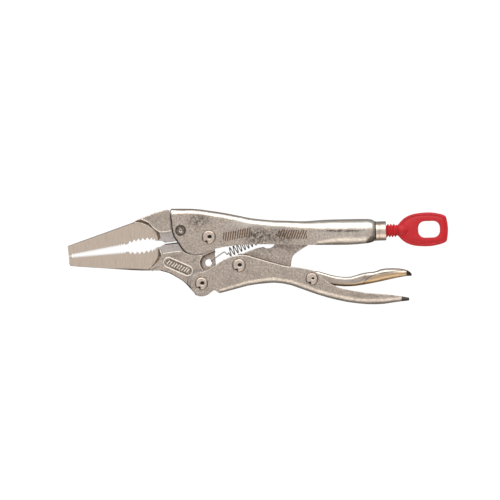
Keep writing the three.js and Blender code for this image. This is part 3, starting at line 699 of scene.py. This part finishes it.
# Lines of painted shadow in corners and of painted highlight on edges: name, body, finish, half height and
# radius in mm, then points in mm from the main pivot; the finishes "scale" and "groove" are painted shadow,
# "bright" painted highlight.
EDGE_LINES = [
    ("cheek_shadow", "upper_handle", "scale", 5.35, 0.32,
     [(-22.75, 16.4), (-22.6, 11), (-22.2, 8), (-21.8, 4), (-20.9, 0.6), (-18.7, -2.8), (-15.9, -7.0),
      (-13.4, -9.4), (-10.8, -10.6)]),
    ("tab_shadow", "movable_jaw", "groove", 4.4, 0.42,
     [(3.9, -8.7), (0.9, -9.8), (-2.0, -11.0), (-3.6, -12.4), (-4.6, -14.4), (-4.7, -16.4), (-3.9, -18.2),
      (-2.4, -19.6)]),
    ("tab_lip", "movable_jaw", "bright", 6.02, 0.3,
     [(-3.9, -11.3), (-4.75, -12.6), (-5.5, -14.5), (-5.5, -16.4), (-4.75, -18.4), (-3.6, -19.9)]),
    ("tab_crest", "movable_jaw", "bright", 4.74, 0.26,
     [(3.7, -7.9), (0.5, -9.1), (-2.3, -10.2), (-3.5, -11.0)]),
    ("handle_shadow", "lower_handle", "groove", 6.75, 0.3,
     [(17.5, -10.35), (21.6, -10.35), (29.2, -12.4), (34.2, -13.9), (44.2, -16.6), (48.8, -17.4)]),
    ("handle_lip", "lower_handle", "bright", 6.9, 0.32,
     [(14.5, -11.8), (17.5, -11.15), (21.6, -11.05), (29.2, -13.1), (34.2, -14.6), (44.2, -17.25),
      (50.5, -18.25)]),
    ("rear_shadow", "lower_handle", "groove", 6.7, 0.26,
     [(70.5, -26.45), (74.2, -28.75), (79.2, -30.85), (86, -32.3), (93, -33.45)]),
    ("shoulder_lip", "upper_handle", "bright", 6.42, 0.3,
     [(-40.9, 10.9), (-36.1, 8.9), (-32.4, 5.0), (-28.8, 3.0)]),
    ("nose_lip", "upper_handle", "bright", 4.62, 0.28,
     [(-44.6, 8.8), (-40.9, 8.4), (-37.0, 6.8), (-33.6, 4.2)]),
    ("slot_shadow", "movable_jaw", "scale", 4.75, 0.3, [(-26.1, -4.45), (-22, -4.0), (-16.5, -3.4)]),
    ("jaw_shadow", "movable_jaw", "scale", 5.98, 0.27,
     [(-28.8, -19.9), (-23.4, -21.45), (-19.5, -23.5), (-15.7, -25.75), (-13.1, -28.1), (-10.6, -30.9)]),
    ("fixed_neck_lip", "upper_handle", "bright", 6.4, 0.28, [(-28.8, 3.0), (-25.7, 3.3), (-22.6, 3.9)]),
    ("movable_neck_lip", "movable_jaw", "bright", 6.0, 0.28,
     [(-27.6, -10.1), (-24.7, -9.5), (-18.9, -8.7), (-16.4, -8.5)]),
]


def make_edge_lines():
    """Thin lines of painted shadow and of painted highlight, on both sides of the tool."""
    # The "scale" and "groove" lines are painted shadow, the "bright" ones painted highlight.
    finishes = {"scale": SHADE_BLACK, "groove": SHADE_BROWN, "bright": PAINTED_HIGHLIGHT}
    for name, body, finish, half, radius, points in EDGE_LINES:
        for side, word in ((1, "near"), (-1, "far")):
            line = smooth_path([from_main_pivot(x, y, side * half) for x, y in points], 5)
            mesh = tube_mesh(name, line, radius * MM, sides=8)
            piece_from(f"{name}_{word}", mesh, body, [finishes[finish]])


def make_badge():
    """A raised rim and plain slanted ribs in the movable jaw's oval pocket."""
    middle = pivot("handle_pivot") + Vector((-14.0, 10.1, 0)) * MM
    turn = Matrix.Rotation(math.radians(-23.6), 4, "Z")
    half_long, radius, level = 6.2, 2.95, 6.25
    ribs, first_rib, rib_spacing, rib_level = 9, -6.4, 1.6, 5.95
    for side, word in ((1, "near"), (-1, "far")):
        place = Matrix.Translation(middle) @ turn
        rim = []
        for k in range(48):
            angle = 2 * math.pi * (k + 0.5) / 48
            end = math.copysign(half_long, math.cos(angle))
            rim.append(Vector((end + radius * math.cos(angle), radius * math.sin(angle), side * level)))
        path = [place @ (point * MM) for point in rim]
        # The rim and ribs are pale: painted highlight on the raised metal.
        mesh = tube_mesh("badge_rim_" + word, path, 0.42 * MM, closed=True)
        piece_from("badge_rim_" + word, mesh, "movable_jaw", [PAINTED_HIGHLIGHT])
        for k in range(ribs):
            x = first_rib + rib_spacing * k
            ends = [Vector((x - 0.45, -1.5, side * rib_level)), Vector((x + 0.45, 1.5, side * rib_level))]
            path = [place @ (ends[0].lerp(ends[1], t / 4) * MM) for t in range(5)]
            mesh = tube_mesh(f"badge_rib_{word}_{k}", path, 0.36 * MM, sides=8)
            piece_from(f"badge_rib_{word}_{k}", mesh, "movable_jaw", [PAINTED_HIGHLIGHT])


# ---------------------------------------------------------------- rivets

RIVET_TOP = 8.28  # half width over a rivet's two heads, in mm
SEAT = 7.16  # where a head begins


def rivet_move(head_radius):
    """Pushes the dimple off centre and strikes a small notch near the rim."""
    notch = Vector((-0.5, -0.85)).normalized() * (head_radius - 0.7)

    def move(point):
        moved = point.copy()
        flat = Vector((point.x, point.y))
        if abs(point.z) > SEAT + 0.05:
            share = max(0.0, 1 - flat.length / 3.2)
            moved.x += 0.75 * share
            moved.y += 0.35 * share
            near = math.exp(-(((flat - notch).length / 0.8) ** 2))
            moved.z -= math.copysign(0.75 * near, point.z)
        return moved

    return move


def rivet_finish(mesh, centre, head):
    """Painted shade: near-black metal in the dimple, in the notch and down the flank of the head."""
    for face in mesh.polygons:
        depth = RIVET_TOP - abs(face.center.z - MIDDLE) / MM
        away = (face.center - centre).xy.length / MM
        if (0.2 < depth < 1.05 and away < head - 0.55) or (depth > 0.62 and away > head - 0.4):
            face.material_index = 1


def make_rivets():
    for node, body, pin in (
        ("main_pivot_rivet", "upper_handle", 3.0),
        ("jaw_handle_rivet", "lower_handle", 2.8),
        ("link_rivet", "lower_handle", 2.8),
        ("lever_rivet", "lower_handle", 2.3),
    ):
        low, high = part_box(node)
        centre = (low + high) / 2
        head = (high.x - low.x) / 2 / MM
        dimple = 0.75 if node == "lever_rivet" else 1.2
        top = [
            (SEAT, pin),
            (SEAT, head - 0.05),
            (SEAT + 0.08, head - 0.02),
            (RIVET_TOP - 0.6, head - 0.28),
            (RIVET_TOP - 0.38, head - 0.38),
            (RIVET_TOP - 0.2, head - 0.58),
        ]
        top += [(RIVET_TOP - 0.08 + 0.02 * k, head - 0.8 - 0.3 * k) for k in range(4)]
        top += [
            (RIVET_TOP, dimple + 0.35),
            (RIVET_TOP - 0.06, dimple + 0.12),
            (RIVET_TOP - 0.3, dimple - 0.05),
            (RIVET_TOP - 0.75, 0.6 * dimple),
            (RIVET_TOP - 0.95, 0.05),
        ]
        bottom = [(-along, radius) for along, radius in reversed(top)]
        mesh = turned_mesh(node, bottom + top, Matrix.Translation(centre), 72, rivet_move(head))
        rivet_finish(mesh, centre, head)
        piece_from(node + "_fine", mesh, body, [RIVET, SHADE_BLACK], [node])


def make_jaw_pin():
    """A flush pin in a countersink painted dark as shade, with a small centre mark."""
    centre = centre_of("fixed_jaw_pin")
    place = Matrix.Translation(centre)
    end = 7.0
    top = [(end - 0.1, 2.58), (end, 2.3), (end - 0.02, 1.2)]
    top += [(end - 0.25, 0.9), (end - 0.3, 0.5), (end - 0.1, 0.3)]
    bottom = [(-along, radius) for along, radius in reversed(top)]
    mesh = turned_mesh("fixed_jaw_pin", bottom + top, place, 48)
    for face in mesh.polygons:
        if 0.55 < (face.center - centre).xy.length / MM < 1.1:
            face.material_index = 1
    finishes = [PIN_FACE, NECK]
    piece_from("fixed_jaw_pin_fine", mesh, "upper_handle", finishes, ["fixed_jaw_pin"])
    # Painted shade: a dark ring standing in for the shade in the gap round the pin.
    for side, word in ((1, "near"), (-1, "far")):
        profile = [(6.9, 2.3), (7.06, 2.35), (7.2, 2.9), (7.13, 3.3), (6.9, 3.3)]
        mesh = turned_ring("countersink", [(side * along, radius) for along, radius in profile], place, 48)
        piece_from("jaw_pin_countersink_" + word, mesh, "upper_handle", [SHEARED_AND_SHADE])


# ---------------------------------------------------------------- screw end


def make_nut():
    end = 3.15
    profile = [(-9.6, 4.1), (-9.6, 4.8), (-end, 4.8), (-end, 5.55), (-end + 0.2, 5.76), (-end + 2.1, 5.77)]
    profile += [(-end + 2.2, 5.7), (-end + 2.3, 5.77), (end - 0.25, 5.77), (end - 0.05, 5.6)]
    profile += [(end, 5.4), (end, 4.5), (end - 0.4, 4.05), (-9.5, 4.05)]
    mesh = turned_ring("screw_nut", profile, SCREW_PLACE)
    piece_from("screw_nut_fine", mesh, "upper_handle", [RIVET], ["screw_nut"])
    # Painted shade: a near-black ring at the handle's mouth, where the sheet folds in round the nut.
    profile = [(-end - 0.35, 5.0), (-end - 0.35, 5.9), (-end + 0.05, 6.0), (-end + 0.1, 5.6)]
    mesh = turned_ring("mouth_shadow", profile, SCREW_PLACE)
    piece_from("mouth_shadow", mesh, "upper_handle", [SHADE_BLACK])


def turned_ring(name, profile, place, steps=64):
    """A turned ring whose profile closes on itself."""
    rings = []
    for along, radius in profile:
        ring = []
        for k in range(steps):
            angle = 2 * math.pi * k / steps
            point = Vector((radius * math.cos(angle), radius * math.sin(angle), along))
            ring.append(place @ (point * MM))
        rings.append(ring)
    mesh = rings_mesh(name, rings, closed=True)
    mark_creases(mesh)
    return mesh


def mark_creases(mesh, degrees=40):
    """Edges sharper than this stay sharp in the shading."""
    build = bmesh.new()
    build.from_mesh(mesh)
    for edge in build.edges:
        edge.smooth = edge.calc_face_angle(0) < math.radians(degrees)
    build.to_mesh(mesh)
    build.free()


KEY_HALF = 2.6  # half the key's thickness, in mm
THREAD_PITCH = 1.75
THREAD_CORE = 3.05  # radius at the bottom of the thread
THREAD_CREST = 3.98  # radius at its crest


def make_screw():
    """The shank with its whole helical thread."""
    start, end = -39.2, 10.0
    rows, steps = 14, 40
    count = int((end - start) / THREAD_PITCH * rows)
    rings = []
    for i in range(count + 1):
        along = start + (end - start) * i / count
        ring = []
        for k in range(steps):
            phase = (along / THREAD_PITCH - k / steps) % 1.0
            flank = min(max(1.9 * (1 - abs(2 * phase - 1)) - 0.35, 0.0), 1.0)
            fade = min((along - start) / 2, (end - along) / 1.4, 1.0)
            radius = THREAD_CORE + (THREAD_CREST - THREAD_CORE) * flank * max(fade, 0.0)
            angle = 2 * math.pi * k / steps
            point = Vector((radius * math.cos(angle), radius * math.sin(angle), along))
            ring.append(SCREW_PLACE @ (point * MM))
        rings.append(ring)
    mesh = rings_mesh("adjusting_screw", rings)
    piece_from("adjusting_screw_fine", mesh, "adjusting_screw", [RED], ["adjusting_screw"])


# How far in from the key's outer edge, or out from its slot, and how far below its flat face, in mm.
KEY_RIM = [(0.0, 0.95), (0.12, 0.62), (0.4, 0.3), (0.8, 0.1), (1.25, 0.0), (1.5, 0.06), (1.8, 0.4)]
KEY_RIM += [(2.1, 0.3), (2.6, 0.0)]
KEY_SLOT_RIM = [(0.55, 0.0), (0.3, 0.08), (0.08, 0.28), (0.0, 0.6)]
KEY_NECK_END = 10.6  # along the screw's axis from the nut, in mm
KEY_SLOT_MIDDLE = 28.95  # along the same axis
KEY_STEPS = 120


def key_reach():
    """How far the slot's wall and the outer edge lie from the slot's middle, all the way round."""
    tree = BVHTree.FromPolygons(
        [vert.co for vert in frame["nodes"]["thumb_key"].data.vertices],
        [tuple(face.vertices) for face in frame["nodes"]["thumb_key"].data.polygons],
    )
    middle = SCREW_PLACE @ Vector((0, 0, KEY_SLOT_MIDDLE * MM))
    along, across = SCREW_AXIS, SCREW_AXIS.cross(Vector((0, 0, 1)))
    neck = (KEY_SLOT_MIDDLE - KEY_NECK_END) * MM
    reach = []
    for k in range(KEY_STEPS):
        angle = 2 * math.pi * (k + 0.5) / KEY_STEPS
        way = along * math.cos(angle) + across * math.sin(angle)
        start, wall = 0.0, []
        while len(wall) < 2:
            hit = tree.ray_cast(middle + way * start, way)
            wall.append(start + hit[3])
            start = wall[-1] + 0.01 * MM
        if way.dot(along) < 0:
            wall[1] = min(wall[1], neck / -way.dot(along))
        reach.append((middle, way, wall[0] / MM, wall[1] / MM))
    return reach


def make_key():
    """The flat key, rounded at its rims, with a soft line pressed along its edge, on a turned neck."""
    rings = []
    for middle, way, slot, edge in key_reach():
        top = [(edge - inward, KEY_HALF - fall) for inward, fall in KEY_RIM]
        top += [(slot + outward, KEY_HALF - fall) for outward, fall in KEY_SLOT_RIM]
        loop = top + [(away, -half) for away, half in reversed(top)]
        rings.append([middle + (way * away + Vector((0, 0, half))) * MM for away, half in loop])
    mesh = rings_mesh("thumb_key", rings, closed=True)
    mark_creases(mesh, 60)
    piece_from("thumb_key_fine", mesh, "thumb_key", [RED], ["thumb_key"])
    neck = [(10.02, 0.05), (10.02, 3.0), (10.3, 3.5), (11.3, 4.1), (12.6, 4.2), (13.8, 4.0), (14.8, 3.5)]
    neck += [(15.8, 2.95), (17.0, 2.5), (17.2, 0.05)]
    mesh = turned_mesh("key_neck", neck, SCREW_PLACE, 48)
    piece_from("thumb_key_neck", mesh, "thumb_key", [RED])


# ---------------------------------------------------------------- spring


def make_spring():
    """An open coil between a hook in the jaw's tab and a hook inside the upper handle."""
    tab = from_main_pivot(0.6, -14.6)
    start = from_main_pivot(11.8, -9.3)
    lean = math.radians(23.5)
    along = Vector((math.cos(lean), math.sin(lean), 0))
    across = Vector((-math.sin(lean), math.cos(lean), 0))
    up = Vector((0, 0, 1))
    pitch, radius, wire = 2.35, 2.5, 0.32
    turns, per_turn = 11, 22
    coil = []
    for i in range(turns * per_turn + 1):
        angle = 2 * math.pi * i / per_turn + math.pi / 2
        centre = start + along * (pitch * i / per_turn * MM)
        coil.append(centre + (across * math.cos(angle) + up * math.sin(angle)) * radius * MM)
    lead = [
        tab + Vector((1.2, 0.2, -2.6)) * MM,
        tab + Vector((0.9, 0.1, 0.0)) * MM,
        tab + Vector((1.3, 0.6, 2.2)) * MM,
        tab + Vector((5.0, 3.3, 2.7)) * MM,
        tab + Vector((8.6, 5.6, 2.7)) * MM,
        tab + Vector((10.4, 4.2, 2.7)) * MM,
    ]
    tail = [
        coil[-1] + along * 1.4 * MM + across * 0.4 * MM,
        coil[-1] + along * 2.6 * MM + across * 1.2 * MM - up * 1.4 * MM,
        coil[-1] + along * 2.8 * MM + across * 1.6 * MM - up * 3.4 * MM,
    ]
    path = smooth_path(lead + [coil[0]], 7)[:-1] + coil + smooth_path([coil[-1]] + tail, 5)[1:]
    mesh = tube_mesh("tension_spring", path, wire * MM, sides=8)
    spring = bpy.data.objects.new("tension_spring_fine", mesh)
    bpy.context.scene.collection.objects.link(spring)
    mesh.materials.append(WIRE)
    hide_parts("tension_spring")
    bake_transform(spring)


# ---------------------------------------------------------------- studio


def area_light(name, place, size, power, colour):
    data = bpy.data.lights.new(name, "AREA")
    data.shape = "RECTANGLE"
    data.size, data.size_y = size
    data.energy = power
    data.color = colour
    light = bpy.data.objects.new(name, data)
    light.location = place
    light.visible_camera = False
    light.rotation_euler = (-Vector(place)).to_track_quat("-Z", "Y").to_euler()
    bpy.context.scene.collection.objects.link(light)


def make_studio():
    scene = bpy.context.scene
    scene.view_settings.view_transform = "Standard"
    world = bpy.data.worlds.new("studio")
    world.use_nodes = True
    background = world.node_tree.nodes["Background"]
    background.inputs["Color"].default_value = (1.0, 0.96, 0.92, 1)
    background.inputs["Strength"].default_value = 0.17
    scene.world = world
    area_light("overhead", (0.0, -0.45, 2.3), (3.0, 1.7), 8.3, (1.0, 0.98, 0.97))
    area_light("top_strip", (0.0, 1.5, 1.3), (3.4, 2.0), 48, (1.0, 0.985, 0.94))
    area_light("low_strip", (0.0, -1.6, 0.85), (3.0, 1.5), 18, (1.0, 0.93, 0.83))

    recipe = Recipe("pale_floor", (0.05, 0.05, 0.05), 0.9, 0.0)
    recipe.tint(recipe.range(recipe.noise(60), 0.3, 0.7, 0.0, 0.5), (0.03, 0.03, 0.03))
    recipe.shader.inputs["Emission Color"].default_value = (1, 1, 1, 1)
    recipe.shader.inputs["Emission Strength"].default_value = 1.0
    build = bmesh.new()
    bmesh.ops.create_grid(build, x_segments=4, y_segments=4, size=3.0)
    mesh = bpy.data.meshes.new("floor")
    build.to_mesh(mesh)
    build.free()
    mesh.materials.append(recipe.finish())
    floor = bpy.data.objects.new("floor", mesh)
    floor.location.z = -0.05 * MM
    floor.visible_glossy = False
    scene.collection.objects.link(floor)


def make_camera():
    """Straight above, through a long lens, so that 300 mm fill the frame's width."""
    distance, width, sensor = 6.0, 0.3, 36.0
    aim = (-4.7, 3.9)  # in mm
    data = bpy.data.cameras.new("camera")
    data.sensor_width = sensor
    data.lens = sensor * (distance - MIDDLE) / width
    data.dof.use_dof = False
    camera = bpy.data.objects.new("camera", data)
    camera.location = (aim[0] * MM, aim[1] * MM, distance)
    bpy.context.scene.collection.objects.link(camera)
    bpy.context.scene.camera = camera


make_camera()
make_studio()
make_handles()
make_jaws()
make_hollows()
make_edge_lines()
make_badge()
make_rivets()
make_jaw_pin()
make_nut()
make_screw()
make_key()
make_spring()
